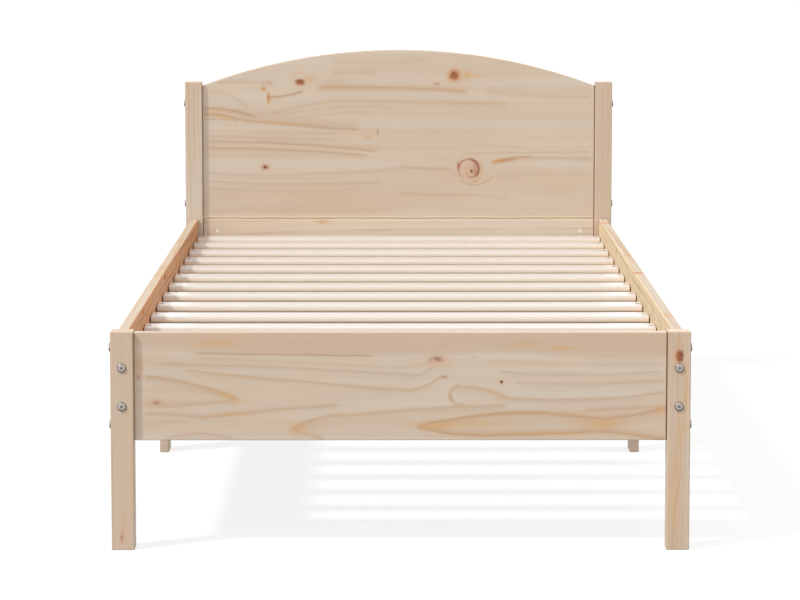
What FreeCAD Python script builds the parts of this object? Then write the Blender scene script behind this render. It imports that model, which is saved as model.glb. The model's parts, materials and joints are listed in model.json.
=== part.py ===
"""Single bed frame of pine boards: square posts, arched headboard, low footboard and a deck of slats.

The bed stands on the floor at Z = 0. X runs across it, Y along it from the foot (-Y) to the head (+Y), and the
origin is on the floor below the middle of the bed. All lengths are millimetres.
"""

import FreeCAD
import Part
import Sketcher

import math
import os
import re

# Driving dimensions: alias, value and what it measures

SIZES = (
    ("bed_width", 955, "over the outer faces of the posts"),
    ("bed_length", 2055, "over the outer faces of the posts"),
    ("edge_radius", 2, "rounding on the edges of posts and boards"),
    ("post_width", 38, "post section across the bed"),
    ("post_depth", 38, "post section along the bed"),
    ("front_post_height", 364, "posts at the foot end"),
    ("board_drop", 2, "top of a front post down to the boards' top edges"),
    ("rail_thickness", 18, "side rails and middle legs"),
    ("rail_height", 180, "side rails"),
    ("cross_board_thickness", 18, "footboard and head rail"),
    ("cross_board_height", 180, "footboard and head rail"),
    ("headboard_thickness", 18, "arched panel"),
    ("headboard_gap", 1.5, "head rail's top edge up to the panel"),
    ("headboard_side_height", 297.5, "panel's height where it meets the posts"),
    ("headboard_rise", 80, "how far the arch rises above the panel's sides"),
    ("rear_post_rise", 9, "how far the posts at the head end rise above the panel's sides"),
    ("cross_bolt_inset", 26, "footboard and head rail bolts from the board's edges"),
    ("rail_bolt_inset", 58, "side rail bolts from the rail's edges"),
    ("headboard_bolt_inset", 33.5, "lower headboard bolt above the panel's bottom edge"),
    ("headboard_top_bolt_inset", 40, "upper headboard bolt below the top of the panel's sides"),
    ("bolt_diameter", 6, "shank"),
    ("bolt_head_diameter", 14.4, "flat round head"),
    ("bolt_head_height", 3, "flat round head"),
    ("bolt_head_edge", 1.6, "rounding on the head's rim"),
    ("bolt_socket_across", 5, "hex socket across its flats"),
    ("bolt_socket_depth", 2, "hex socket"),
    ("bolt_tip_chamfer", 0.8, "bevel at the shank's tip"),
    ("bolt_past_nut", 6, "shank beyond the barrel nut's axis"),
    ("bolt_bore", 7, "clearance hole for a bolt"),
    ("bolt_bore_spare", 3, "bore beyond the bolt's tip"),
    ("nut_diameter", 10, "barrel nut"),
    ("nut_length", 13, "barrel nut"),
    ("nut_inset", 32, "barrel nut's axis from the board's end"),
    ("nut_clearance", 0.3, "nut bore over the nut, on its diameter and depth"),
    ("nut_thread_clearance", 0.1, "nut's cross bore over the bolt, on its diameter"),
    ("nut_slot_width", 1.6, "slot in the nut's end that shows"),
    ("nut_slot_depth", 1.5, "slot in the nut's end that shows"),
    ("slat_count", 13, "slats in the deck"),
    ("slat_width", 65, "slat section along the bed"),
    ("slat_thickness", 14, "slat section"),
    ("slat_edge_share", 0.42, "edge rounding as a share of the slat's thickness"),
    ("slat_side_gap", 2.5, "slat's end to the side rail"),
    ("slat_end_gap", 25, "end slat to the footboard or the head rail"),
    ("end_pitch_share", 0.84, "spacing of the end slats as a share of the others' spacing"),
    ("mattress_recess", 35, "rail's top edge down to the slats' tops"),
    ("ledger_width", 20, "batten under the slat ends, across the bed"),
    ("ledger_height", 20, "batten under the slat ends"),
    ("ledger_past_screw", 8, "ledger's end beyond the end slat's screw"),
    ("ledger_screw_count", 4, "screws in each ledger"),
    ("ledger_screw_slat_count", 3, "slat spacings from one ledger screw to the next"),
    ("middle_leg_width", 60, "middle leg and its cleat, along the bed"),
    ("cleat_thickness", 18, "cleat inside each middle leg"),
    ("cleat_gap", 3, "ledger down to the cleat"),
    ("cleat_reach", 112, "cleat below the side rail's bottom edge"),
    ("screw_diameter", 3.5, "wood screw shank"),
    ("screw_head_diameter", 7, "countersunk head"),
    ("screw_tip", 5, "pointed tip"),
    ("screw_recess_across", 4, "cross recess over its arms"),
    ("screw_recess_width", 1, "arm of the cross recess"),
    ("screw_recess_depth", 1.2, "cross recess"),
    ("screw_clearance", 0.2, "screw hole over the screw, on its diameter and depth"),
    ("screw_bite", 12, "cleat and ledger screws into the rail or leg"),
    ("slat_screw_bite", 15, "slat screws into the ledger"),
)

# Where the two screws of a cleat sit along its height on the rail, and again on the leg
CLEAT_SCREW_SHARES = (0.3, 0.7)
COUNTERSINK_ANGLE = 90

# Lengths and places worked out from the driving dimensions

POST_X = "(bed_width - post_width) / 2"
POST_Y = "(bed_length - post_depth) / 2"
CROSS_LENGTH = "(bed_width - 2 * post_width)"
RAIL_LENGTH = "(bed_length - 2 * post_depth)"
INNER_WIDTH = "(bed_width - post_width - rail_thickness)"
INNER_LENGTH = "(bed_length - post_depth - cross_board_thickness)"

BOARD_TOP = "(front_post_height - board_drop)"
CROSS_BOTTOM = f"({BOARD_TOP} - cross_board_height)"
RAIL_BOTTOM = f"({BOARD_TOP} - rail_height)"
HEADBOARD_BOTTOM = f"({BOARD_TOP} + headboard_gap)"
REAR_POST_HEIGHT = f"({HEADBOARD_BOTTOM} + headboard_side_height + rear_post_rise)"
SLAT_BOTTOM = f"({BOARD_TOP} - mattress_recess - slat_thickness)"
LEDGER_BOTTOM = f"({SLAT_BOTTOM} - ledger_height)"
CLEAT_BOTTOM = f"({RAIL_BOTTOM} - cleat_reach)"
CLEAT_TOP = f"({LEDGER_BOTTOM} - cleat_gap)"

LEDGER_X = f"({INNER_WIDTH} - ledger_width) / 2"
CLEAT_X = f"({INNER_WIDTH} - cleat_thickness) / 2"
END_SLAT_Y = f"(({INNER_LENGTH} - slat_width) / 2 - slat_end_gap)"
SLAT_PITCH = f"(2 * {END_SLAT_Y} / (slat_count - 3 + 2 * end_pitch_share))"
FIRST_LEDGER_SCREW_Y = f"((2 - slat_count / 2) * {SLAT_PITCH})"

BOLT_LENGTH = "(nut_inset + bolt_past_nut)"
SCREW_HOLE = "screw_diameter + screw_clearance"
SCREW_SINK = "screw_head_diameter + screw_clearance"

# Bolt heights above the lower edge of their own board
CROSS_BOLTS = ("cross_bolt_inset", "cross_board_height - cross_bolt_inset")
RAIL_BOLTS = ("rail_bolt_inset", "rail_height - rail_bolt_inset")
HEADBOARD_BOLTS = ("headboard_bolt_inset", "headboard_side_height - headboard_top_bolt_inset")

# Turns that point a fastener's head, or a board's inner face, the named way
X_AXIS = FreeCAD.Vector(1, 0, 0)
Y_AXIS = FreeCAD.Vector(0, 1, 0)
Z_AXIS = FreeCAD.Vector(0, 0, 1)
UPRIGHT = FreeCAD.Rotation()
HEAD_RIGHT = FreeCAD.Rotation(Y_AXIS, 90)
HEAD_LEFT = FreeCAD.Rotation(Y_AXIS, -90)
HEAD_TO_FOOT_END = FreeCAD.Rotation(X_AXIS, 90)
HEAD_TO_HEAD_END = FreeCAD.Rotation(X_AXIS, -90)
FACING_RIGHT = FreeCAD.Rotation(Z_AXIS, -90)
FACING_LEFT = FreeCAD.Rotation(Z_AXIS, 90)
FACING_FOOT_END = FreeCAD.Rotation(Z_AXIS, 180)
FACING_HEAD_END = FreeCAD.Rotation()

SIDES = (("left", "-1", FACING_RIGHT), ("right", "1", FACING_LEFT))

doc = FreeCAD.newDocument("SingleBedFrame")
sheet = doc.addObject("Spreadsheet::Sheet", "Sizes")
for row, (alias, number, meaning) in enumerate(SIZES, 1):
    sheet.set(f"A{row}", meaning)
    sheet.set(f"B{row}", str(number))
    sheet.setAlias(f"B{row}", alias)
doc.recompute()

# Formulas


def in_sheet(formula):
    """Write a formula of aliases as an expression on the sheet."""
    return re.sub(r"[a-z][a-z_]+", r"Sizes.\g<0>", formula)


def value(formula):
    """Work out a formula of aliases."""
    return float(sheet.evalExpression(in_sheet(formula)))


def bind(thing, **formulas):
    """Bind properties of a document object to formulas."""
    for name, formula in formulas.items():
        thing.setExpression(name, in_sheet(formula))


def place(thing, x, y, z, turn=UPRIGHT):
    """Turn a document object and bind its place to formulas."""
    thing.Placement = FreeCAD.Placement(FreeCAD.Vector(), turn)
    for axis, formula in zip("xyz", (x, y, z)):
        thing.setExpression(f"Placement.Base.{axis}", in_sheet(formula))


# Sketches


def new_body(label):
    body = doc.addObject("PartDesign::Body", label)
    body.Label = label
    return body


def origin_feature(body, role):
    return next(feature for feature in body.Origin.OriginFeatures if feature.Role == role)


def new_sketch(body, name, role, offset=None):
    """Attach a sketch to an origin plane of its body, at an offset along the plane's normal."""
    sketch = body.newObject("Sketcher::SketchObject", name)
    sketch.AttachmentSupport = [(origin_feature(body, role), "")]
    sketch.MapMode = "FlatFace"
    if offset:
        sketch.setExpression("AttachmentOffset.Base.z", in_sheet(offset))
    return sketch


def dimension(sketch, formula, kind, *where):
    """Add a dimension to a sketch and bind it to a formula."""
    number = sketch.addConstraint(Sketcher.Constraint(kind, *where, value(formula)))
    sketch.setExpression(f"Constraints[{number}]", in_sheet(formula))


def pin(sketch, curve, end, x, y):
    """Hold a point of a curve at x and y from the sketch's origin."""
    for kind, formula, zero_axis in (("DistanceX", x, -2), ("DistanceY", y, -1)):
        if formula == "0":
            sketch.addConstraint(Sketcher.Constraint("PointOnObject", curve, end, zero_axis))
        else:
            dimension(sketch, formula, kind, -1, 1, curve, end)


def point(x, y):
    return FreeCAD.Vector(value(x), value(y), 0)


def draw_polygon(sketch, corners):
    """Draw a closed outline of straight lines through corners given as pairs of formulas."""
    for index, corner in enumerate(corners):
        following = corners[(index + 1) % len(corners)]
        sketch.addGeometry(Part.LineSegment(point(*corner), point(*following)), False)
    for index, corner in enumerate(corners):
        sketch.addConstraint(Sketcher.Constraint("Coincident", index - 1 if index else len(corners) - 1, 2, index, 1))
        pin(sketch, index, 1, *corner)


def draw_rectangle(sketch, across, bottom, top):
    """Draw a rectangle centred on the vertical axis."""
    half = f"({across}) / 2"
    draw_polygon(sketch, ((f"-{half}", bottom), (half, bottom), (half, top), (f"-{half}", top)))


def draw_circles(sketch, places, diameter):
    """Draw equal circles at places given as pairs of formulas."""
    for x, y in places:
        circle = sketch.addGeometry(Part.Circle(point(x, y), Z_AXIS, value(diameter) / 2), False)
        pin(sketch, circle, 3, x, y)
        dimension(sketch, diameter, "Diameter", circle)


# Features


def add_pad(body, sketch, length, symmetric=False):
    doc.recompute()
    pad = body.newObject("PartDesign::Pad", "Pad")
    pad.Profile = sketch
    pad.SideType = "Symmetric" if symmetric else "One side"
    bind(pad, Length=length)
    doc.recompute()
    return pad


def add_revolution(body, sketch):
    doc.recompute()
    revolution = body.newObject("PartDesign::Revolution", "Revolution")
    revolution.Profile = sketch
    revolution.ReferenceAxis = (sketch, ["V_Axis"])
    doc.recompute()
    return revolution


def check_cut(body, feature, volume):
    """Stop if a cutting feature took nothing away."""
    doc.recompute()
    if not feature.Shape.Volume < volume:
        raise RuntimeError(f"{body.Label}: {feature.Name} cuts nothing")


def add_pocket(body, sketch, depth=None, forward=False):
    """Cut a sketch to a depth against its plane's normal, or along it, or right through both ways."""
    doc.recompute()
    volume = body.Shape.Volume
    pocket = body.newObject("PartDesign::Pocket", "Pocket")
    pocket.Profile = sketch
    if depth:
        pocket.Type = "Length"
        pocket.Reversed = forward
        bind(pocket, Length=depth)
    else:
        pocket.SideType = "Symmetric"
        pocket.Type = "ThroughAll"
    check_cut(body, pocket, volume)
    return pocket


def add_screw_holes(body, sketch, forward=False):
    """Drill countersunk holes right through, against the sketch plane's normal or along it."""
    doc.recompute()
    volume = body.Shape.Volume
    hole = body.newObject("PartDesign::Hole", "Hole")
    hole.Profile = sketch
    doc.recompute()
    hole.ThreadType = "None"
    hole.DepthType = "ThroughAll"
    hole.Reversed = forward
    hole.HoleCutType = "Countersink"
    hole.HoleCutCustomValues = True
    hole.HoleCutCountersinkAngle = COUNTERSINK_ANGLE
    bind(hole, Diameter=SCREW_HOLE, HoleCutDiameter=SCREW_SINK)
    check_cut(body, hole, volume)
    return hole


def add_mirrored(body, features, role):
    """Repeat features on the other side of an origin plane."""
    doc.recompute()
    volume = body.Shape.Volume
    mirrored = body.newObject("PartDesign::Mirrored", "Mirrored")
    mirrored.Originals = features
    mirrored.MirrorPlane = (origin_feature(body, role), [""])
    body.Tip = mirrored
    check_cut(body, mirrored, volume)
    return mirrored


def add_fillet(body, base, radius, wanted=None):
    """Round the edges of a feature that pass a test, or all of them."""
    fillet = body.newObject("PartDesign::Fillet", "Fillet")
    edges = [f"Edge{n}" for n, edge in enumerate(base.Shape.Edges, 1) if wanted is None or wanted(edge)]
    fillet.Base = (base, edges)
    bind(fillet, Radius=radius)
    doc.recompute()
    return fillet


def runs_along(axis):
    """Make a test for straight edges along an axis."""

    def test(edge):
        return abs(edge.tangentAt(edge.FirstParameter).dot(axis)) > 0.999

    return test


# Boards and posts


def make_post(label, height, across_bolts, along_bolts, x, y):
    """Make a post with holes for bolts across the bed and along it, at the given heights."""
    body = new_body(label)
    section = new_sketch(body, "Section", "XY_Plane")
    draw_rectangle(section, "post_width", "-post_depth / 2", "post_depth / 2")
    post = add_pad(body, section, height)
    add_fillet(body, post, "edge_radius")
    for name, role, heights in (("AcrossBolts", "YZ_Plane", across_bolts), ("AlongBolts", "XZ_Plane", along_bolts)):
        bores = new_sketch(body, name, role)
        draw_circles(bores, [("0", bolt) for bolt in heights], "bolt_bore")
        add_pocket(body, bores)
    place(body, x, y, "0")
    return body


def add_bolt_bores(body, length, thickness, heights):
    """Bore both ends of a board for bolts, and its +Y face for their barrel nuts."""
    ends = new_sketch(body, "BoltBores", "YZ_Plane", f"{length} / 2")
    draw_circles(ends, [("0", height) for height in heights], "bolt_bore")
    bolts = add_pocket(body, ends, f"{BOLT_LENGTH} + bolt_bore_spare")
    face = new_sketch(body, "NutBores", "XZ_Plane", f"-{thickness} / 2")
    nut_x = f"{length} / 2 - nut_inset"
    draw_circles(face, [(nut_x, height) for height in heights], "nut_diameter + nut_clearance")
    nuts = add_pocket(body, face, f"({thickness} + nut_length) / 2 + nut_clearance", forward=True)
    add_mirrored(body, [bolts, nuts], "YZ_Plane")


def make_board(label, length, height, thickness, bolt_heights):
    """Make a board along X, standing on Z = 0, with rounded edges and bored ends."""
    body = new_body(label)
    section = new_sketch(body, "Section", "YZ_Plane")
    draw_rectangle(section, thickness, "0", height)
    board = add_pad(body, section, length, symmetric=True)
    add_fillet(body, board, "edge_radius")
    add_bolt_bores(body, length, thickness, bolt_heights)
    return body


def make_headboard(label):
    """Make the panel with an arched top, bored at its ends and on its back."""
    body = new_body(label)
    half = f"{CROSS_LENGTH} / 2"
    side = "headboard_side_height"
    radius = f"(({half}) ^ 2 + headboard_rise ^ 2) / (2 * headboard_rise)"
    outline = new_sketch(body, "Outline", "XZ_Plane")
    corners = ((f"-{half}", side), (f"-{half}", "0"), (half, "0"), (half, side))
    for start, finish in zip(corners, corners[1:]):
        outline.addGeometry(Part.LineSegment(point(*start), point(*finish)), False)
    centre = point("0", f"{side} + headboard_rise - {radius}")
    reach = math.atan2(value(half), value(side) - centre.y)
    circle = Part.Circle(centre, Z_AXIS, value(radius))
    arch = outline.addGeometry(Part.ArcOfCircle(circle, math.pi / 2 - reach, math.pi / 2 + reach), False)
    for curve in range(arch):
        outline.addConstraint(Sketcher.Constraint("Coincident", curve, 2, curve + 1, 1))
        pin(outline, curve, 1, *corners[curve])
    outline.addConstraint(Sketcher.Constraint("Coincident", arch, 2, 0, 1))
    outline.addConstraint(Sketcher.Constraint("Horizontal", 0, 1, arch, 1))
    dimension(outline, radius, "Radius", arch)
    panel = add_pad(body, outline, "headboard_thickness", symmetric=True)
    add_fillet(body, panel, "edge_radius")
    add_bolt_bores(body, CROSS_LENGTH, "headboard_thickness", HEADBOARD_BOLTS)
    place(body, "0", POST_Y, HEADBOARD_BOTTOM)
    return body


def ledger_screw_places(height):
    """List where the ledger screws sit along a rail, between slats, at one height."""
    count = int(value("ledger_screw_count"))
    stride = f"ledger_screw_slat_count * {SLAT_PITCH}"
    return [(f"{FIRST_LEDGER_SCREW_Y} + {index} * {stride}", height) for index in range(count)]


def cleat_screw_heights(bottom, top):
    """List the heights of the cleat screws between two heights."""
    return [f"({bottom} + {share} * ({top} - {bottom}))" for share in CLEAT_SCREW_SHARES]


def make_side_rail(label, sign, turn):
    """Make a side rail with pilot holes on its inner face for the ledger's and the cleat's screws."""
    body = make_board(label, RAIL_LENGTH, "rail_height", "rail_thickness", RAIL_BOLTS)
    pilots = new_sketch(body, "PilotHoles", "XZ_Plane", "-rail_thickness / 2")
    places = ledger_screw_places(f"{LEDGER_BOTTOM} + ledger_height / 2 - {RAIL_BOTTOM}")
    places += [("0", f"{height} - {RAIL_BOTTOM}") for height in cleat_screw_heights(RAIL_BOTTOM, CLEAT_TOP)]
    draw_circles(pilots, places, SCREW_HOLE)
    add_pocket(body, pilots, "screw_bite + screw_clearance", forward=True)
    place(body, f"{sign} * {POST_X}", "0", RAIL_BOTTOM, turn)
    return body


def slat_y(index):
    """Give a slat's place along the bed: the end slats sit closer to their neighbours than the others."""
    last = int(value("slat_count")) - 1
    if index == 0:
        return f"-{END_SLAT_Y}"
    if index == last:
        return END_SLAT_Y
    return f"({index} - (slat_count - 1) / 2) * {SLAT_PITCH}"


def make_ledger(label, sign, turn):
    """Make the batten that carries the slat ends, with pilot holes for the slats' screws."""
    body = new_body(label)
    section = new_sketch(body, "Section", "YZ_Plane")
    draw_rectangle(section, "ledger_width", "0", "ledger_height")
    batten = add_pad(body, section, f"2 * ({END_SLAT_Y} + ledger_past_screw)", symmetric=True)
    add_fillet(body, batten, "edge_radius", runs_along(X_AXIS))
    pilots = new_sketch(body, "PilotHoles", "XY_Plane", "ledger_height")
    places = [(slat_y(index), "0") for index in range(int(value("slat_count")))]
    draw_circles(pilots, places, SCREW_HOLE)
    add_pocket(body, pilots, "slat_screw_bite + screw_clearance")
    holes = new_sketch(body, "ScrewHoles", "XZ_Plane", "-ledger_width / 2")
    draw_circles(holes, ledger_screw_places("ledger_height / 2"), SCREW_HOLE)
    add_screw_holes(body, holes, forward=True)
    place(body, f"{sign} * {LEDGER_X}", "0", LEDGER_BOTTOM, turn)
    return body


def make_slat(label, index):
    """Make a square-ended slat with rounded long edges and a countersunk screw hole near each end."""
    body = new_body(label)
    outline = new_sketch(body, "Outline", "XY_Plane")
    draw_rectangle(outline, f"{INNER_WIDTH} - 2 * slat_side_gap", "-slat_width / 2", "slat_width / 2")
    slat = add_pad(body, outline, "slat_thickness")
    add_fillet(body, slat, "slat_edge_share * slat_thickness", runs_along(X_AXIS))
    holes = new_sketch(body, "ScrewHoles", "XY_Plane", "slat_thickness")
    draw_circles(holes, ((f"-{LEDGER_X}", "0"), (LEDGER_X, "0")), SCREW_HOLE)
    add_screw_holes(body, holes)
    place(body, "0", slat_y(index), SLAT_BOTTOM)
    return body


def make_upright(label, thickness, height, drill, screw_heights):
    """Make a short upright board and drill it on its +Y face."""
    body = new_body(label)
    section = new_sketch(body, "Section", "XY_Plane")
    draw_rectangle(section, "middle_leg_width", f"-{thickness} / 2", f"{thickness} / 2")
    upright = add_pad(body, section, height)
    add_fillet(body, upright, "edge_radius")
    holes = new_sketch(body, "ScrewHoles", "XZ_Plane", f"-{thickness} / 2")
    draw_circles(holes, [("0", screw) for screw in screw_heights], SCREW_HOLE)
    drill(body, holes, forward=True)
    return body


def add_pilot_holes(body, sketch, forward):
    return add_pocket(body, sketch, "screw_bite + screw_clearance", forward)


def make_middle_leg(label, sign, turn):
    """Make a middle leg that stands under the side rail, in line with it."""
    heights = cleat_screw_heights(CLEAT_BOTTOM, RAIL_BOTTOM)
    body = make_upright(label, "rail_thickness", RAIL_BOTTOM, add_pilot_holes, heights)
    place(body, f"{sign} * {POST_X}", "0", "0", turn)
    return body


def make_cleat(label, sign, turn):
    """Make the cleat that holds a middle leg to its rail from inside."""
    heights = cleat_screw_heights(CLEAT_BOTTOM, RAIL_BOTTOM) + cleat_screw_heights(RAIL_BOTTOM, CLEAT_TOP)
    own_heights = [f"{height} - {CLEAT_BOTTOM}" for height in heights]
    length = f"{CLEAT_TOP} - {CLEAT_BOTTOM}"
    body = make_upright(label, "cleat_thickness", length, add_screw_holes, own_heights)
    place(body, f"{sign} * {CLEAT_X}", "0", CLEAT_BOTTOM, turn)
    return body


# Fasteners, each drawn once with its head's seat at Z = 0 and its shank pointing down


def make_bolt(label, through):
    """Make a flat-headed bolt with a hex socket, long enough for a post and its barrel nut."""
    body = new_body(label)
    length = f"({through} + {BOLT_LENGTH})"
    head = "bolt_head_diameter / 2"
    shank = "bolt_diameter / 2"
    tip = "bolt_tip_chamfer"
    profile = new_sketch(body, "Profile", "XZ_Plane")
    corners = (
        ("0", "bolt_head_height"),
        ("0", f"-{length}"),
        (f"{shank} - {tip}", f"-{length}"),
        (shank, f"{tip} - {length}"),
        (shank, "0"),
        (head, "0"),
        (head, "bolt_head_height"),
    )
    draw_polygon(profile, corners)
    turned = add_revolution(body, profile)

    def is_rim(edge):
        """Pick the head's outer edge at its top."""
        box = edge.BoundBox
        return box.ZMin > value("bolt_head_height") / 2 and box.XLength > value("bolt_diameter")

    add_fillet(body, turned, "bolt_head_edge", is_rim)
    socket = new_sketch(body, "Socket", "XY_Plane", "bolt_head_height")
    angles = [math.radians(60 * corner) for corner in range(6)]
    reach = f"bolt_socket_across / {math.sqrt(3)}"
    draw_polygon(socket, [(f"{reach} * {math.cos(a)}", f"{reach} * {math.sin(a)}") for a in angles])
    add_pocket(body, socket, "bolt_socket_depth")
    return body


def make_nut(label):
    """Make a barrel nut along Y with a cross bore for the bolt and a slot in the end that shows."""
    body = new_body(label)
    section = new_sketch(body, "Section", "XZ_Plane")
    draw_circles(section, (("0", "0"),), "nut_diameter")
    add_pad(body, section, "nut_length", symmetric=True)
    bore = new_sketch(body, "CrossBore", "YZ_Plane")
    draw_circles(bore, (("0", "0"),), "bolt_diameter + nut_thread_clearance")
    add_pocket(body, bore)
    slot = new_sketch(body, "Slot", "XZ_Plane", "-nut_length / 2")
    draw_rectangle(slot, "nut_diameter", "-nut_slot_width / 2", "nut_slot_width / 2")
    add_pocket(body, slot, "nut_slot_depth", forward=True)
    return body


def make_screw(label, length):
    """Make a countersunk wood screw with a cross recess; its head's top is at Z = 0."""
    body = new_body(label)
    head = "screw_head_diameter / 2"
    shank = "screw_diameter / 2"
    profile = new_sketch(body, "Profile", "XZ_Plane")
    corners = (
        ("0", "0"),
        ("0", f"-({length})"),
        (shank, f"screw_tip - ({length})"),
        (shank, f"{shank} - {head}"),
        (head, "0"),
    )
    draw_polygon(profile, corners)
    add_revolution(body, profile)
    recess = new_sketch(body, "Recess", "XY_Plane")
    arm = "screw_recess_across / 2"
    half = "screw_recess_width / 2"
    quarter = ((arm, f"-{half}"), (arm, half), (half, half), (half, arm), (f"-{half}", arm), (f"-{half}", half))
    opposite = [(f"-({x})", f"-({y})") for x, y in quarter]
    draw_polygon(recess, list(quarter) + opposite)
    add_pocket(body, recess, "screw_recess_depth")
    return body


def make_group(label, master, spots):
    """Set linked copies of a fastener at spots of x, y, z and turn, and join them as one sub-part."""
    links = []
    for x, y, z, turn in spots:
        link = doc.addObject("App::Link", f"{label}_copy")
        link.LinkedObject = master
        place(link, x, y, z, turn)
        links.append(link)
    group = doc.addObject("Part::Compound", label)
    group.Links = links
    group.Label = label
    return group


def cross_fasteners(name, end, turn, bottom, heights, bolt, nut):
    """Bolt a board to both posts of one end of the bed."""
    bolts = []
    nuts = []
    for sign, head in (("-1", HEAD_LEFT), ("1", HEAD_RIGHT)):
        for height in heights:
            spot = (f"{end} * {POST_Y}", f"{bottom} + {height}")
            bolts.append((f"{sign} * bed_width / 2", *spot, head))
            nuts.append((f"{sign} * ({CROSS_LENGTH} / 2 - nut_inset)", *spot, turn))
    return [make_group(f"{name}_bolts", bolt, bolts), make_group(f"{name}_nuts", nut, nuts)]


def rail_fasteners(name, end, head, bolt, nut):
    """Bolt both side rails to the posts of one end of the bed."""
    bolts = []
    nuts = []
    for _, sign, turn in SIDES:
        for height in RAIL_BOLTS:
            x = f"{sign} * {POST_X}"
            z = f"{RAIL_BOTTOM} + {height}"
            bolts.append((x, f"{end} * bed_length / 2", z, head))
            nuts.append((x, f"{end} * ({RAIL_LENGTH} / 2 - nut_inset)", z, turn))
    return [make_group(f"{name}_bolts", bolt, bolts), make_group(f"{name}_nuts", nut, nuts)]


def inward_screws(x, places):
    """Point screws outward into both rails or legs, heads to the middle of the bed, at places of y and z."""
    spots = []
    for sign, head in (("-1", HEAD_RIGHT), ("1", HEAD_LEFT)):
        spots += [(f"{sign} * {x}", y, z, head) for y, z in places]
    return spots


# The bed, piece by piece


def make_frame():
    """Make the posts, boards and middle legs."""
    pieces = []
    cross_heights = [f"{CROSS_BOTTOM} + {height}" for height in CROSS_BOLTS]
    rail_heights = [f"{RAIL_BOTTOM} + {height}" for height in RAIL_BOLTS]
    rear_heights = cross_heights + [f"{HEADBOARD_BOTTOM} + {height}" for height in HEADBOARD_BOLTS]
    for side, sign, turn in SIDES:
        x = f"{sign} * {POST_X}"
        front = f"front_post_{side}"
        rear = f"rear_post_{side}"
        pieces.append(make_post(front, "front_post_height", cross_heights, rail_heights, x, f"-{POST_Y}"))
        pieces.append(make_post(rear, REAR_POST_HEIGHT, rear_heights, rail_heights, x, POST_Y))
        pieces.append(make_side_rail(f"side_rail_{side}", sign, turn))
        pieces.append(make_ledger(f"slat_ledger_{side}", sign, turn))
        pieces.append(make_middle_leg(f"middle_leg_{side}", sign, turn))
        pieces.append(make_cleat(f"middle_leg_cleat_{side}", sign, turn))
    for label, y, turn in (("footboard", f"-{POST_Y}", FACING_HEAD_END), ("head_rail", POST_Y, FACING_FOOT_END)):
        board = make_board(label, CROSS_LENGTH, "cross_board_height", "cross_board_thickness", CROSS_BOLTS)
        place(board, "0", y, CROSS_BOTTOM, turn)
        pieces.append(board)
    pieces.append(make_headboard("headboard_panel"))
    return pieces


def make_slats():
    """Make the slats of the deck from the foot end to the head end."""
    return [make_slat(f"slat_{index + 1:02d}", index) for index in range(int(value("slat_count")))]


def make_fasteners():
    """Make the bolts with their barrel nuts, and the wood screws."""
    across = make_bolt("bolt_across", "post_width")
    along = make_bolt("bolt_along", "post_depth")
    nut = make_nut("barrel_nut")
    pieces = cross_fasteners("footboard", "-1", FACING_HEAD_END, CROSS_BOTTOM, CROSS_BOLTS, across, nut)
    pieces += cross_fasteners("head_rail", "1", FACING_FOOT_END, CROSS_BOTTOM, CROSS_BOLTS, across, nut)
    pieces += cross_fasteners("headboard", "1", FACING_HEAD_END, HEADBOARD_BOTTOM, HEADBOARD_BOLTS, across, nut)
    pieces += rail_fasteners("front_rail", "-1", HEAD_TO_FOOT_END, along, nut)
    pieces += rail_fasteners("rear_rail", "1", HEAD_TO_HEAD_END, along, nut)

    slat_screw = make_screw("slat_screw", "slat_thickness + slat_screw_bite")
    ledger_screw = make_screw("ledger_screw", "ledger_width + screw_bite")
    cleat_screw = make_screw("cleat_screw", "cleat_thickness + screw_bite")
    slat_top = f"{SLAT_BOTTOM} + slat_thickness"
    rows = [slat_y(index) for index in range(int(value("slat_count")))]
    slat_spots = [(f"{sign} * {LEDGER_X}", y, slat_top, UPRIGHT) for y in rows for sign in ("-1", "1")]
    pieces.append(make_group("slat_screws", slat_screw, slat_spots))
    ledger_places = ledger_screw_places(f"{LEDGER_BOTTOM} + ledger_height / 2")
    ledger_face = f"({INNER_WIDTH} / 2 - ledger_width)"
    pieces.append(make_group("ledger_screws", ledger_screw, inward_screws(ledger_face, ledger_places)))
    heights = cleat_screw_heights(CLEAT_BOTTOM, RAIL_BOTTOM) + cleat_screw_heights(RAIL_BOTTOM, CLEAT_TOP)
    cleat_face = f"({INNER_WIDTH} / 2 - cleat_thickness)"
    pieces.append(make_group("cleat_screws", cleat_screw, inward_screws(cleat_face, [("0", z) for z in heights])))
    return pieces


def check_document(pieces):
    """Stop if any object failed or a sub-part has no valid shape."""
    for thing in doc.Objects:
        if "Invalid" in thing.State or "Error" in thing.State:
            raise RuntimeError(f"{thing.Label} failed: {thing.State}")
    for piece in pieces:
        if piece.Shape.isNull() or not piece.Shape.isValid():
            raise RuntimeError(f"{piece.Label} has no valid shape")


def main():
    pieces = make_frame() + make_slats() + make_fasteners()
    doc.recompute()
    check_document(pieces)
    os.makedirs("parts", exist_ok=True)
    for piece in pieces:
        piece.Shape.exportStep(os.path.join("parts", f"{piece.Label}.step"))
    print(f"{len(pieces)} sub-parts written")


main()
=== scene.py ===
"""Finishes and studio stage of a single pine bed frame.

The boards and posts get clear-lacquered pine with its growth rings, knots and streaks, the slats a
paler sanded wood, and the bolts and screws zinc. All shapes come from the frame. Lengths in the wood
shaders are millimetres in the bed's own axes: X across it, Y along it towards the headboard, Z up from
the floor.
"""

import collections
import json
import math

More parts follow.
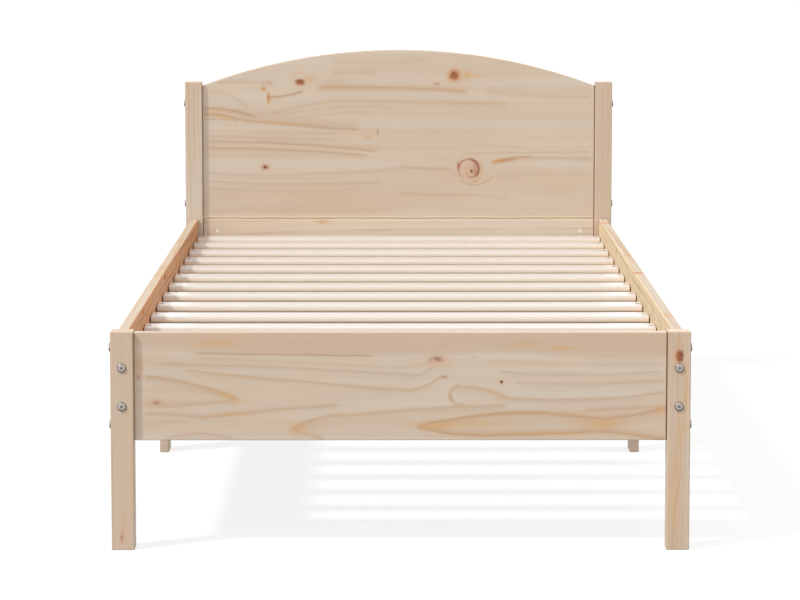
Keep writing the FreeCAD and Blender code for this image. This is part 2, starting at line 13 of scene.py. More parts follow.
import bpy
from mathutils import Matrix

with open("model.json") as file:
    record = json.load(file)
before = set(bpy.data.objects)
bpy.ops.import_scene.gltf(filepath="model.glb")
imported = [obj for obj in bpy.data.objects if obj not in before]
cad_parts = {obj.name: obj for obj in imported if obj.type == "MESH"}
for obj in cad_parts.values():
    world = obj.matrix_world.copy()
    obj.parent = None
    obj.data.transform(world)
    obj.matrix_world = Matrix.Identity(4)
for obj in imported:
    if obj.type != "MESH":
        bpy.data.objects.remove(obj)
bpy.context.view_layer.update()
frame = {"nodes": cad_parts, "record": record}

bl_info = {
    "name": "Pine Bed Frame",
    "version": (1, 0, 0),
    "blender": (4, 5, 0),
    "location": "3D View > Sidebar > Bed",
    "description": "Dresses a single bed frame in pine and zinc and sets it in a pale studio",
    "category": "Object",
}

MM_PER_M = 1000.0
SENSOR_WIDTH = 36.0
WHITE = (1.0, 1.0, 1.0)


def srgb(red, green, blue):
    """Turn a colour of 0 to 255 as a screen shows it into the linear values that shaders use."""
    linear = []
    for level in (red / 255, green / 255, blue / 255):
        linear.append(level / 12.92 if level <= 0.04045 else ((level + 0.055) / 1.055) ** 2.4)
    return tuple(linear)


def colour_property(name, description, default):
    return bpy.props.FloatVectorProperty(
        name=name, description=description, subtype="COLOR", size=3, min=0.0, max=1.0, default=default
    )


def share_property(name, description, default):
    return bpy.props.FloatProperty(
        name=name, description=description, subtype="FACTOR", min=0.0, max=1.0, default=default
    )


def length_property(name, description, default):
    return bpy.props.FloatProperty(
        name=name, description=description, subtype="DISTANCE", unit="LENGTH", min=0.0, default=default
    )


def angle_property(name, description, degrees):
    return bpy.props.FloatProperty(
        name=name, description=description, subtype="ANGLE", unit="ROTATION", default=math.radians(degrees)
    )


def direction_property(name, description, default):
    return bpy.props.FloatVectorProperty(
        name=name, description=description, subtype="DIRECTION", default=default
    )


def strength_property(name, description, default):
    return bpy.props.FloatProperty(name=name, description=description, min=0.0, default=default)


# Settings that a user would change


class PineSettings(bpy.types.PropertyGroup):
    """Clear-lacquered pine of the posts, boards and battens."""

    sapwood: colour_property("Sapwood", "Pale wood between the rings", srgb(204, 190, 173))
    blush: colour_property("Blush", "Pinker stretches of the wood", srgb(198, 173, 149))
    heartwood: colour_property("Heartwood", "Red face that was sawn through the heart", srgb(226, 170, 129))
    honey: colour_property("Honey", "Yellow face of the other rail", srgb(226, 204, 170))
    latewood: colour_property("Latewood", "Dark line of each growth ring", srgb(178, 138, 96))
    knot_heart: colour_property("Knot heart", "Middle of a knot", srgb(158, 84, 44))
    knot_bark: colour_property("Knot bark", "Dark rim and cracks of a knot", srgb(92, 42, 26))
    knot_halo: colour_property("Knot halo", "Warm wood round a knot", srgb(206, 166, 134))
    amber: colour_property("Amber", "Streaks of resin and warm grain", srgb(202, 158, 106))
    # Also darkens the arched top of the headboard, partly as painted shade.
    end_grain_and_shade: colour_property("End grain", "Sawn ends, which drink more lacquer", srgb(196, 160, 122))
    # Painted shade in part: the dark line where a board meets a post also stands in for the shade in the
    # gap.
    joint_and_gap_shade: colour_property("Joint line", "Dark line where a board meets a post", srgb(104, 76, 54))
    ring_depth: share_property("Ring contrast", "How strongly the growth rings show", 0.62)
    roughness: share_property("Roughness", "Roughness of the lacquer", 0.44)
    pore_height: length_property("Pore height", "Relief of rings and fibres under the lacquer", 0.00025)


class SlatSettings(bpy.types.PropertyGroup):
    """Pale sanded wood of the slats, with painted light and shade by how far up a face looks."""

    pale: colour_property("Pale wood", "Sanded top faces", srgb(216, 208, 201))
    # Painted shade: the shoulders are darker than the tops.
    shaded_shoulder: colour_property("Shoulder", "Upper part of the rounded edges", srgb(212, 202, 192))
    # Painted light: the rounded edges are made lighter to make up for the little light they get.
    edge: colour_property("Edge", "Middle of the rounded edges", srgb(236, 220, 202))
    # Painted shade: faces that look down are dark.
    under: colour_property("Underside", "Faces that look down", srgb(150, 120, 94))
    line: colour_property("Grain line", "Thin lines along the slats", srgb(202, 178, 150))
    blush: colour_property("Blush", "Warmer slats", srgb(212, 190, 164))
    fleck: colour_property("Fleck", "Small brown marks", srgb(150, 108, 78))
    roughness: share_property("Roughness", "Roughness of the sanded wood", 0.28)
    pore_height: length_property("Pore height", "Relief of the fibres", 0.00004)


class SteelSettings(bpy.types.PropertyGroup):
    """Zinc on the bolts, barrel nuts and screws."""

    bolt: colour_property("Bolt zinc", "Bright zinc of the bolts", srgb(176, 169, 163))
    # Painted shade: darkens the bolts' rims and sockets, besides being their dull patches.
    bolt_dull_and_shade: colour_property(
        "Bolt dull zinc", "Rims, sockets and dull patches of the bolts", srgb(84, 79, 78)
    )
    nut: colour_property("Nut zinc", "Pale zinc of the barrel nuts", srgb(240, 232, 222))
    # Also the painted shade where the nuts face down.
    nut_dull_and_shade: colour_property("Nut dull zinc", "Duller patches of the barrel nuts", srgb(215, 205, 192))
    screw: colour_property("Screw zinc", "Yellowed zinc of the wood screws", srgb(96, 80, 60))
    # Painted shade: darkens zinc that faces down; the screws also take it for their dull patches.
    shade_and_dull: colour_property("Grime", "Dark grime on the metal", srgb(24, 19, 16))
    bolt_roughness: share_property("Bolt roughness", "Roughness of the bolts' zinc", 0.26)
    nut_roughness: share_property("Nut roughness", "Roughness of the barrel nuts' zinc", 0.4)
    screw_roughness: share_property("Screw roughness", "Roughness of the screws' zinc", 0.4)


class StageSettings(bpy.types.PropertyGroup):
    """Floor, lamps and camera."""

    floor_size: length_property("Floor size", "Side of the square floor", 90.0)
    floor_seen: colour_property("Floor as seen", "Floor where the camera sees it", (0.28, 0.28, 0.28))
    floor_glow: share_property(
        "Floor glow", "Added where the camera sees the floor, to make it white", 0.75
    )
    floor_bounce: colour_property(
        "Floor bounce", "Floor as it lights the bed from below", (0.45, 0.44, 0.43)
    )
    sky: share_property("Sky level", "Even light from all round", 0.48)
    key_travel: direction_property("Key direction", "Way the key light travels", (1.55, 1.0, -1.9))
    key_strength: strength_property("Key strength", "Light of the key lamp on a facing surface", 2.1)
    key_spread: angle_property("Key spread", "Angle that softens the key light's shadows", 6.0)
    fill_travel: direction_property("Fill direction", "Way the fill light travels", (0.15, 1.0, -0.45))
    fill_strength: strength_property("Fill strength", "Light of the fill lamp on a facing surface", 0.9)
    fill_spread: angle_property("Fill spread", "Angle that softens the fill light's shadows", 70.0)
    back_travel: direction_property("Back direction", "Way the back light travels", (-0.6, -1.0, -0.25))
    back_strength: strength_property("Back strength", "Light of the back lamp on a facing surface", 1.3)
    back_spread: angle_property("Back spread", "Angle that softens the back light's shadows", 70.0)
    top_power: bpy.props.FloatProperty(
        name="Top power", description="Power of the overhead soft box", unit="POWER", default=38.0
    )
    top_size: length_property("Top size", "Side of the overhead soft box", 4.0)
    top_height: length_property("Top height", "Height of the overhead soft box", 4.5)
    camera_place: bpy.props.FloatVectorProperty(
        name="Camera place", description="Where the camera stands", subtype="TRANSLATION", unit="LENGTH",
        default=(-0.0114, -6.4342, 1.0518),
    )
    camera_tilt: angle_property("Camera tilt", "How far the camera looks down", 6.7014)
    camera_turn: angle_property("Camera turn", "How far the camera turns about the vertical", -0.1118)
    camera_lens: bpy.props.FloatProperty(
        name="Camera lens", description="Focal length in millimetres", unit="CAMERA", default=149.45
    )


# Shader expressions


class Field:
    """A shader socket that takes part in Python expressions, each of which adds its nodes."""

    def __init__(self, tree, socket=None):
        self.tree = tree
        self.socket = socket

    def add(self, kind, settings, sockets, output=0):
        """Add a node of a kind, first with its settings and then with its sockets, and give one output."""
        node = self.tree.nodes.new(kind)
        for name, setting in settings.items():
            setattr(node, name, setting)
        for name, given in sockets.items():
            target = node.inputs[name]
            if isinstance(given, Field):
                self.tree.links.new(given.socket, target)
            elif target.type == "RGBA":
                target.default_value = (*given, 1.0)
            else:
                target.default_value = given
        return Field(self.tree, node.outputs[output] if node.outputs else None)

    def math(self, operation, *others):
        return self.add("ShaderNodeMath", {"operation": operation}, dict(enumerate((self, *others))))

    def __add__(self, other):
        return self.math("ADD", other)

    __radd__ = __add__

    def __mul__(self, other):
        return self.math("MULTIPLY", other)

    __rmul__ = __mul__

    def __sub__(self, other):
        return self.math("SUBTRACT", other)

    def __rsub__(self, other):
        return self.add("ShaderNodeMath", {"operation": "SUBTRACT"}, {0: other, 1: self})

    def __truediv__(self, other):
        return self.math("DIVIDE", other)

    def __pow__(self, other):
        return self.math("POWER", other)

    def step(self, low, high):
        """Rise smoothly from 0 at low to 1 at high."""
        settings = {"interpolation_type": "SMOOTHSTEP"}
        return self.add("ShaderNodeMapRange", settings, {"Value": self, "From Min": low, "From Max": high})

    def bell(self):
        """Fall from 1 towards 0 as a squared distance grows."""
        return (0.0 - self).math("EXPONENT")

    def mix(self, factor, other):
        """Blend from this colour to another."""
        return self.add("ShaderNodeMix", {"data_type": "RGBA"}, {0: factor, 6: self, 7: other}, 2)

    def scaled(self, amount):
        """Make this colour lighter or darker."""
        return self.add("ShaderNodeVectorMath", {"operation": "SCALE"}, {0: self, "Scale": amount})

    def colour(self, given):
        """Give a fixed colour to start blending from."""
        return self.add("ShaderNodeMix", {"data_type": "RGBA"}, {0: 0.0, 6: given, 7: given}, 2)


def squared(field):
    return field * field


def new_material(name):
    """Make an empty material and a field to start its nodes from."""
    material = bpy.data.materials.new(name)
    material.use_nodes = True
    material.node_tree.nodes.clear()
    return material, Field(material.node_tree)


def finish_material(start, sockets):
    """Join a material's sockets to its shader and output."""
    shader = start.add("ShaderNodeBsdfPrincipled", {}, sockets)
    start.add("ShaderNodeOutputMaterial", {}, {"Surface": shader})


def relief(start, height, distance):
    return start.add("ShaderNodeBump", {}, {"Strength": 1.0, "Distance": distance, "Height": height})


# Timber: how each piece was sawn, and the marks on it. All lengths are millimetres.

Knot = collections.namedtuple("Knot", "along across half_along half_across darkness halo")
Bend = collections.namedtuple("Bend", "along across half_along half_across rings")
# A mark fades out from its middle and may climb across the board. A firm edge takes a higher power.
Mark = collections.namedtuple(
    "Mark", "tint along across half_along half_across strength slope edge", defaults=(0.0, 1.0)
)
# An arc is the part of a circle that faces one way, in degrees from the board's length
Arc = collections.namedtuple("Arc", "tint along across radius width facing strength")
# A grain line starts at a level, rises to its end, sags in between and fades off above and below
Line = collections.namedtuple("Line", "start end level rise sag above below strength")
Timber = collections.namedtuple(
    "Timber",
    "axes seed pith_across pith_depth ring slope knots bends washes marks arcs lines heart_face "
    "ring_share wash tone gloss butted sawn_top",
    defaults=((), (), (), (), (), (), None, 1.0, 0.7, 1.0, 0.4, None, False),
)

# Width of the dark line where a board butts against a post, partly its own dark colour and partly painted
# shade of the gap
JOINT_LINE = 2.6
# Share by which a growth ring darkens the face that was sawn through the heart
HEART_RING = 0.4

# Axes of a piece: along its grain, across its wide face, and through its thickness
CROSS_AXES = "XZY"
RAIL_AXES = "YZX"
POST_AXES = "ZXY"
LEG_AXES = "ZYX"

FOOTBOARD = Timber(
    CROSS_AXES, 1.0, 226, -1080, 8.5, 0.03,
    wash=0.35,
    washes=(
        Mark("blush", -130, 349, 420, 25, 0.95, -0.012, 4.0),
        Mark("blush", 340, 344, 200, 27, 0.9, -0.02, 4.0),
    ),
    marks=(
        Mark("amber", -283, 255, 22, 6, 0.6, -0.3),
        Mark("amber", -168, 202, 18, 7, 0.7, 0.1),
        Mark("amber", 55, 205, 30, 5, 0.75),
        Mark("amber", 120, 209, 70, 9, 0.4),
        Mark("amber", 335, 209, 38, 9, 0.75),
        Mark("amber", 230, 227, 90, 3, 0.4),
        Mark("amber", 240, 194, 110, 3.5, 0.5),
        Mark("amber", -280, 225, 45, 3, 0.55, 0.05),
        Mark("amber", -300, 345, 42, 8, 0.45, 0.05),
        Mark("amber", 205, 341, 25, 5, 0.4, 0.05),
        Mark("amber", 265, 335, 28, 3, 0.6, 0.05),
        Mark("amber", 428, 232, 9, 6, 0.8, 0.3),
        Mark("amber", 150, 262, 30, 4, 0.35, -0.25),
        Mark("knot_halo", 64, 312, 18, 11, 0.65),
        Mark("knot_heart", 49, 315, 3, 6, 0.3),
        Mark("knot_heart", 61, 317.5, 10, 4.5, 0.5),
        Mark("knot_bark", 60, 319.5, 6, 1.4, 0.5),
        Mark("knot_bark", 62, 316, 5, 1.5, 0.5, -0.25),
        Mark("knot_heart", 72.4, 287.7, 5.5, 2.4, 0.6),
        Mark("knot_halo", 166.3, 279.3, 8, 5, 0.6),
        Mark("knot_bark", 166.3, 279.3, 2.6, 2.8, 1.0, 0.0, 2.0),
        Mark("latewood", 40, 324, 5, 1.2, 0.4),
        Mark("latewood", 76, 342, 5, 1.2, 0.35),
        Mark("latewood", 121, 320.5, 6, 1.2, 0.45),
        Mark("latewood", 172, 296, 8, 1.2, 0.6),
        Mark("knot_halo", -402, 247, 16, 9, 0.5),
        Mark("knot_heart", -402, 246.5, 8, 4, 0.35),
        Mark("knot_bark", -402, 244.5, 5, 1.6, 0.45, 0.05),
        Mark("knot_halo", -430, 307, 7, 17, 0.7),
        Mark("knot_heart", -432, 288, 3, 4, 0.5),
    ),
    arcs=(
        Arc("latewood", 98, 257, 16, 3.2, 160, 0.42),
        Arc("latewood", 98, 257, 16, 3.2, 230, 0.36),
    ),
    lines=(
        Line(-345, -40, 327, -4, 0, 1.5, 1.5, 0.85),
        Line(-415, 45, 310, -20, 3, 1.5, 4, 0.4),
        Line(22, 58, 290, 20, -5, 1.5, 3, 0.4),
        Line(-345, -10, 320, -17, 1, 2, 2, 0.25),
        Line(-15, 48, 303, 8, -2, 2, 2, 0.25),
        Line(-370, 36, 301, -36, -2, 1.5, 4, 0.5),
        Line(12, 68, 266, 24, -5, 1.5, 4, 0.5),
        Line(-425, -263, 291, -40, 6, 1.5, 7, 0.6),
        Line(-425, -263, 239, 12, -5, 6, 1.5, 0.4),
        Line(-425, -312, 227, -8, 1, 4, 3, 0.5),
        Line(-342, -95, 218, 23, 2, 4, 3, 0.5),
        Line(-425, -350, 210, 4, 1, 4, 4, 0.25),
        Line(-390, -275, 184, 0, 10, 2, 5, 0.35),
        Line(-182, -90, 201, 26, 5, 2, 7, 0.55),
        Line(-118, 185, 221, 20, 4, 2, 7, 0.5),
        Line(-182, -125, 201, -17, -2, 6, 2, 0.45),
        Line(24, 250, 205, 24, 8, 2, 6, 0.8),
        Line(236, 354, 229, -10, -2, 3, 6, 0.7),
        Line(334, 446, 219, 20, -3, 3, 6, 0.7),
        Line(24, 170, 205, -15, -6, 6, 2, 0.8),
        Line(150, 330, 190, 8, -1, 6, 2.5, 0.75),
        Line(298, 440, 198, -16, 3, 6, 3, 0.7),
        Line(88, 178, 272, -18.5, 5, 2.5, 6, 0.45),
        Line(150, 446, 256, 9, -10, 1.5, 5, 0.5),
        Line(135, 438, 314, -5, -2, 3, 3, 0.25),
        Line(165, 438, 296, 2, -5, 1.5, 4, 0.38),
        Line(184, 438, 279, 4, -4, 1.5, 4, 0.38),
        Line(300, 438, 231, 7, 1, 5, 3, 0.45),
    ),
    ring_share=0.2,
    # Painted shade in part: the dark lines at the ends, weaker on the left, which the post already shades.
    butted=(0.25, 1.0),
)

HEAD_RAIL = Timber(
    CROSS_AXES, 2.0, 270, 1090, 8.0, -0.015,
    knots=(Knot(208, 250, 9, 7, 0.6, 0.8),),
    bends=(Bend(-150, 268, 260, 26, -2.6), Bend(330, 275, 200, 22, -2.0)),
    # The honey mark along the top edge is painted light, a highlight that lightens the seam under the
    # headboard.
    marks=(Mark("honey", 0, 363.5, 3000, 3, 0.8), Mark("amber", -172, 356, 16, 6, 0.7)),
    wash=0.2,
    # The tone is raised as painted light, making up for the shade the head rail lies in.
    tone=1.1,
    butted=(0.65, 0.85),
)

HEADBOARD = Timber(
    CROSS_AXES, 3.0, 660, 1150, 9.0, 0.0,
    wash=0.35,
    # Its arched top is darkened, partly as end grain and partly as painted shade of the lit top.
    sawn_top=True,
    washes=(
        Mark("blush", 150, 610, 320, 24, 0.4),
        Mark("blush", -330, 600, 160, 14, 0.6, -0.1),
        Mark("blush", -150, 410, 300, 34, 0.6),
        Mark("blush", 120, 480, 110, 42, 0.3),
        Mark("blush", -145, 668, 40, 16, 0.6),
        Mark("blush", -288, 667, 14, 8, 0.7),
        Mark("blush", 368, 430, 52, 13, 0.6),
    ),
    marks=(
        # Painted light: a honey line along the bottom edge lightens the seam above the head rail, as a
        # highlight would.
        Mark("honey", 0, 366.5, 3000, 2.5, 0.8),
        Mark("amber", -390, 592, 40, 5, 0.4, -0.15),
        Mark("amber", -270, 577, 60, 4, 0.4, -0.09),
        Mark("knot_halo", -221, 669, 15, 11, 0.7),
        Mark("knot_heart", -221, 669, 10, 7, 0.95, 0.0, 2.0),
        Mark("knot_bark", -214, 669, 3.5, 5, 0.6),
        Mark("knot_bark", -222, 672.5, 8, 2.5, 0.55),
        Mark("amber", -198, 675, 12, 9, 0.55),
        Mark("amber", -291, 632, 4.5, 13, 0.9, 0.0, 2.0),
        Mark("knot_heart", -291, 636, 2.5, 8, 0.6),
        Mark("amber", -302, 654, 6, 7, 0.9),
        Mark("knot_heart", -302, 655, 3, 3, 0.35),
        Mark("knot_halo", -299, 478.5, 13, 10, 0.5),
        Mark("knot_heart", -299, 478.5, 8, 5.5, 0.75),
        Mark("knot_bark", -299, 478.5, 4, 3, 0.8, 0.0, 2.0),
        Mark("knot_halo", -60, 556, 15, 10, 0.35),
        Mark("amber", -69, 545, 10, 4, 0.55),
        Mark("knot_bark", -47, 559, 1.3, 8, 0.5),
        Mark("knot_halo", 127, 684, 19, 18, 0.7, 0.0, 2.0),
        Mark("amber", 124, 684, 15, 15, 0.6, 0.0, 2.0),
        Mark("knot_heart", 124, 684, 14, 14, 0.25),
        Mark("knot_heart", 124.5, 684, 10, 10, 0.85, 0.0, 2.0),
        Mark("knot_bark", 123, 688, 4, 3.5, 0.6),
        Mark("knot_bark", 118, 680.5, 3.5, 3, 0.45),
        Mark("knot_bark", 128, 681, 3, 4, 0.45),
        Mark("amber", 154, 685, 9, 10, 0.75),
        Mark("amber", 178, 683, 22, 4, 0.4),
        Mark("latewood", 85, 664.8, 9, 3.2, 0.7, 0.0, 2.0),
        Mark("knot_halo", 156, 474, 25, 24, 0.45, 0.0, 2.0),
        Mark("knot_heart", 164, 472, 14, 16, 0.15),
        Mark("knot_heart", 134.5, 482, 4, 8, 0.8),
        Mark("knot_bark", 163.5, 469, 3.2, 4, 0.9, 0.0, 2.0),
        Mark("knot_bark", 172, 483, 6, 1.8, 0.6, -0.8),
        Mark("knot_heart", 170.5, 447.5, 5, 1.6, 0.6, 0.2),
        Mark("amber", 227, 491.5, 16, 5, 0.95, 0.1),
        Mark("knot_heart", 232, 491.5, 16, 3, 0.25, 0.1),
        Mark("knot_heart", 250, 495, 20, 2.6, 0.4, 0.1),
    ),
    arcs=(
        Arc("knot_heart", 157, 474, 23, 3.2, 20, 0.8),
        Arc("knot_bark", 157, 474, 22, 2.2, 25, 0.4),
        Arc("knot_heart", 157, 474, 23, 2.2, 175, 0.4),
        Arc("knot_heart", 157, 475, 21, 1.6, 95, 0.5),
        Arc("knot_heart", 163, 469, 7.5, 1.4, -10, 0.6),
        Arc("knot_heart", 163, 469, 11.5, 1.4, 15, 0.7),
        Arc("knot_heart", 163, 469, 13, 1.4, -100, 0.45),
        Arc("knot_heart", 161, 470, 16, 1.4, -50, 0.55),
        Arc("amber", 159, 472, 29, 2.5, -20, 0.5),
        Arc("amber", -221, 669, 21, 3.0, 110, 0.35),
    ),
    lines=(
        Line(-438, -315, 612, -22, 6, 2, 6, 0.75),
        Line(-438, -358, 598, -12, 5, 2, 8, 0.75),
        Line(-438, -330, 585, -2, 0, 8, 1.5, 0.5),
        Line(-365, -80, 585, -24, -2, 10, 2, 0.6),
        Line(-438, -130, 561, -7, -1, 4, 4, 0.15),
        Line(-438, -130, 548, -9, 0, 4, 4, 0.3),
        Line(-438, -36, 534, -23, 7, 5, 1.5, 0.6),
        Line(-438, -58, 522, -18, 5, 1.5, 5, 0.6),
        Line(-438, -214, 505, 1, 0, 4, 4, 0.18),
        Line(-438, -172, 469, -3, -8, 3, 7, 0.32),
        Line(-212, 26, 464, 15, -4, 3, 7, 0.32),
        Line(-438, -25, 449, -2, -7, 2, 7, 0.36),
        Line(-438, -77, 433, -2, -6, 2, 7, 0.26),
        Line(-438, 0, 381, 0, 0, 6, 6, 0.18),
        Line(-410, -278, 667, -4, 3, 6, 3, 0.4),
        Line(-425, -334, 647, -39, 12, 4, 4, 0.3),
        Line(-292, -110, 597, 33, 4, 5, 5, 0.36),
        Line(-168, 255, 628, -8, 1, 6, 6, 0.36),
        Line(-282, 0, 592, 20, 10, 5, 5, 0.26),
        Line(-252, -50, 584, 18, 5, 5, 5, 0.22),
        Line(-190, 162, 656, -9, 5, 6, 6, 0.6),
        Line(-153, 80, 716, 4, -5, 5, 5, 0.25),
        Line(-153, -48, 690, 1, 0, 5, 5, 0.28),
        Line(184, 438, 649, -14, -3, 6, 6, 0.32),
        Line(137, 438, 585, 0, 2, 5, 5, 0.18),
        Line(138, 305, 531, -12, 2, 4, 4, 0.18),
        Line(138, 438, 509, 4, 0, 3, 3, 0.38),
        Line(206, 300, 490, 12, 4, 1.5, 3.5, 0.9),
        Line(262, 438, 501, -3, 0, 2, 3, 0.5),
        Line(136, 214, 449, 10, -15, 1.5, 1.5, 0.75),
        Line(114, 160, 472, -39, 0, 2, 2, 0.3),
        Line(215, 438, 456, 5, 3, 5, 5, 0.22),
        Line(138, 252, 417, -12, 2, 2, 2, 0.3),
        Line(0, 116, 479, -6, -1, 4, 2, 0.45),
        Line(-6, 162, 421, -4, -2, 3, 3, 0.4),
        Line(-26, 130, 439, 3, -2, 4, 4, 0.2),
        Line(-296, -212, 635, 14, -3.5, 2.2, 2.2, 1.0),
    ),
    ring_share=0.2,
    # Painted shade in part: the dark lines at the ends, weaker on the left, which the post already shades.
    butted=(0.2, 0.9),
)

SIDE_RAIL_LEFT = Timber(
    RAIL_AXES, 4.0, 300, -520, 6.5, 0.01,
    knots=(
        Knot(520, 262, 13, 10, 0.5, 0.8),
        Knot(-640, 230, 9, 8, 0.7, 0.7),
    ),
    bends=(Bend(-300, 290, 420, 26, -2.5), Bend(620, 250, 360, 30, -2.5)),
    washes=(
        Mark("amber", 500, 362, 40, 10, 0.4),
        Mark("amber", -20, 362, 40, 8, 0.3),
        Mark("amber", -155, 362, 30, 8, 0.35),
    ),
    marks=(
        Mark("knot_heart", -104.9, 352, 13, 5.5, 0.8),
        Mark("knot_bark", -102, 352, 6, 4, 0.6),
        Mark("knot_heart", -658, 352, 15, 5.5, 0.7),
    ),
    wash=0.2,
    tone=1.03,
    heart_face=(-451.6, -450.4, "heartwood"),
    gloss=0.0,
    butted=(0.85, 0.85),
)
SIDE_RAIL_RIGHT = Timber(
    RAIL_AXES, 5.0, 255, 530, 6.5, -0.008,
    knots=(Knot(-560, 270, 12, 10, 0.5, 0.8),),
    bends=(Bend(250, 260, 460, 28, -2.8), Bend(-720, 285, 300, 24, -2.2)),
    washes=(
        Mark("amber", 207, 362, 30, 10, 0.45),
        Mark("amber", 115, 362, 40, 8, 0.3),
        Mark("amber", -790, 362, 40, 8, 0.4),
    ),
    marks=(
        Mark("heartwood", 898.7, 364, 15, 4, 0.9),
        Mark("knot_heart", 898.7, 364, 9, 4, 0.7),
        Mark("heartwood", -121.9, 364, 15, 4, 1.0),
        Mark("knot_heart", -121.9, 364, 9, 4, 0.8),
        Mark("knot_heart", 396.6, 352, 9, 5.5, 0.6),
    ),
    wash=0.2,
    tone=1.03,
    heart_face=(453, 450.4, "honey"),
    gloss=0.0,
    butted=(0.85, 0.85),
)

FRONT_POST_LEFT = Timber(
    POST_AXES, 6.0, -560, -1010, 7.0, 0.02,
    marks=(
        Mark("amber", 48, -458, 26, 6, 0.4),
        Mark("amber", 130, -443, 70, 3, 0.3),
        Mark("knot_halo", 21, -459, 12, 7, 0.5),
        Mark("knot_heart", 21, -460.3, 8, 2.4, 0.6),
    ),
    washes=(Mark("blush", 180, -458, 400, 60, 0.6),),
)
FRONT_POST_RIGHT = Timber(
    POST_AXES, 7.0, 380, -990, 7.0, -0.03,
    bends=(Bend(150, 458, 70, 9, -1.6),),
    washes=(Mark("blush", 150, 462, 90, 6, 0.7, 0.05), Mark("blush", 350, 456, 14, 8, 0.7)),
    marks=(
        Mark("amber", 262, 470, 30, 4, 0.5),
        Mark("amber", 300, 468, 12, 3, 0.45),
        Mark("amber", 205, 469, 10, 5, 0.35),
        Mark("amber", 175, 457, 50, 6, 0.35, 0.06),
        Mark("amber", 95, 450, 55, 7, 0.35, 0.03),
        Mark("amber", 35, 455, 36, 8, 0.3),
        Mark("amber", 347, 457, 12, 7, 0.35),
        Mark("knot_halo", 322.5, 456.5, 15, 10, 0.7),
        Mark("heartwood", 323, 453.5, 10, 6, 0.4, 0.0, 2.0),
        Mark("knot_heart", 323.5, 457.8, 10.5, 6.6, 0.95, 0.0, 2.0),
        Mark("knot_bark", 327.5, 459.5, 4, 3.5, 0.7),
        Mark("knot_bark", 317.5, 460, 3.5, 3, 0.6),
        Mark("knot_bark", 323.5, 463, 9, 1.4, 0.8),
    ),
)
REAR_POST_LEFT = Timber(POST_AXES, 8.0, -400, 960, 7.0, 0.01)
REAR_POST_RIGHT = Timber(
    POST_AXES, 9.0, 520, 1050, 7.5, -0.01,
    washes=(Mark("blush", 350, 458, 700, 60, 0.8),),
)

BATTENS = {
    "middle_leg_left": Timber(LEG_AXES, 10.0, 40, -440, 6.0, 0.02),
    "middle_leg_right": Timber(LEG_AXES, 11.0, -35, 480, 6.0, -0.02),
    "middle_leg_cleat_left": Timber(LEG_AXES, 12.0, -50, -460, 5.0, 0.0),
    "middle_leg_cleat_right": Timber(LEG_AXES, 13.0, 45, 450, 5.0, 0.0),
    "slat_ledger_left": Timber(RAIL_AXES, 14.0, 330, -400, 5.0, 0.01),
    "slat_ledger_right": Timber(RAIL_AXES, 15.0, 270, 470, 5.0, -0.01),
}


# Pine

AXES = "XYZ"
# Noise is drawn out in patches along the grain. It rises from 0 to 1 between levels, or swings about zero.
Patches = collections.namedtuple("Patches", "length width detail seed levels", defaults=(None,))
NOISE_MIDDLE = 0.5

# How far the grain wanders and ripples across a board, and a drawn line waves
WANDER = Patches(700, 150, 1, 0)
WANDER_REACH = 22.0
RIPPLE = Patches(150, 45, 1, 40)
RIPPLE_REACH = 5.0
WAVE = Patches(60, 20, 1, 29)
WAVE_REACH = 3.0

# Rings crowd together in lean years, by so many rings over such a stretch of growth
CROWDING_STRETCH = 42.0
CROWDING_RINGS = 3.0
# A ring darkens from its onset to its peak, in shares of its width, and the faintest keeps some strength
RING_ONSET = 0.3
RING_PEAK = 0.86
FAINTEST_RING = 0.15
# Rings fade here and there to a share of their strength
FADE = Patches(260, 26, 1, 13, (0.3, 0.62))
FADED_RING = 0.25
# Fine rings: how many there are to a growth ring, what sets them off, and how much they show
FINE_RINGS = 3.0
FINE_RING_SEED = 20.0
FINE_RING_SHARE = 0.16

# Colour that runs along a board in washes, bands, clouds, flames of the heart, and fibres
WASH = Patches(900, 60, 2, 11, (0.42, 0.68))
BAND = Patches(900, 17, 1, 41, (0.38, 0.66))
BAND_SHARE = 0.17
CLOUD = Patches(240, 36, 2, 23)
CLOUD_SHARE = 0.1
FLAME = Patches(160, 14, 2, 17, (0.3, 0.7))
FLAME_SHARE = 0.3
FIBRE = Patches(46, 1.3, 3, 31)
FIBRE_SHARE = 0.06

# The grain parts round a knot within so many of its half lengths and half widths
PARTING_ALONG = 5.0
PARTING_ACROSS = 2.6
PARTING_SHARE = 0.8
# Knots are ragged and ringed, and their parts fade out between these shares of their half sizes
MOTTLE = Patches(18, 14, 1, 3)
BREAKS = Patches(9, 7, 0, 5, (0.42, 0.62))
KNOT_RAGGEDNESS = 0.9
KNOT_RINGS = 2.6
KNOT_RING_LINE = (0.4, 0.9)
KNOT_CORE = (0.1, 0.6)
KNOT_HEART = (0.5, 1.15)
KNOT_RIM = (0.95, 1.2)
# A knot's halo: how fast it fades, and its strength
HALO_FADE = 0.55
HALO_SHARE = 0.75
# Strength of a knot's heart and arcs: the least, and what its darkness adds
HEART_STRENGTH = (0.2, 0.7)
ARC_STRENGTH = (0.3, 0.5)

# An arc fades in between these cosines of the angle from the way it faces
ARC_ENDS = (0.1, 0.8)
# The place along a grain line from 0 to 1, less its square, is a quarter in the middle. The ends fade.
LINE_MIDDLE = 0.25
LINE_FADE = 0.06
LINE_RELIEF = 0.5

# Sawn faces show end grain: how square on they lie, and how much it shows
# An arched top that faces up takes the same colour, partly end grain and partly painted shade
SAWN_END = (0.8, 0.98)
SAWN_AND_SHADED_ARCH = (0.3, 0.8)
SAWN_SHARE = 0.5

# Shares of rings, fibres and knots in the relief and in the roughness
RELIEF_SHARES = (0.5, 0.6, -0.6)
ROUGHNESS_SHARES = (0.08, 0.12, 0.1)


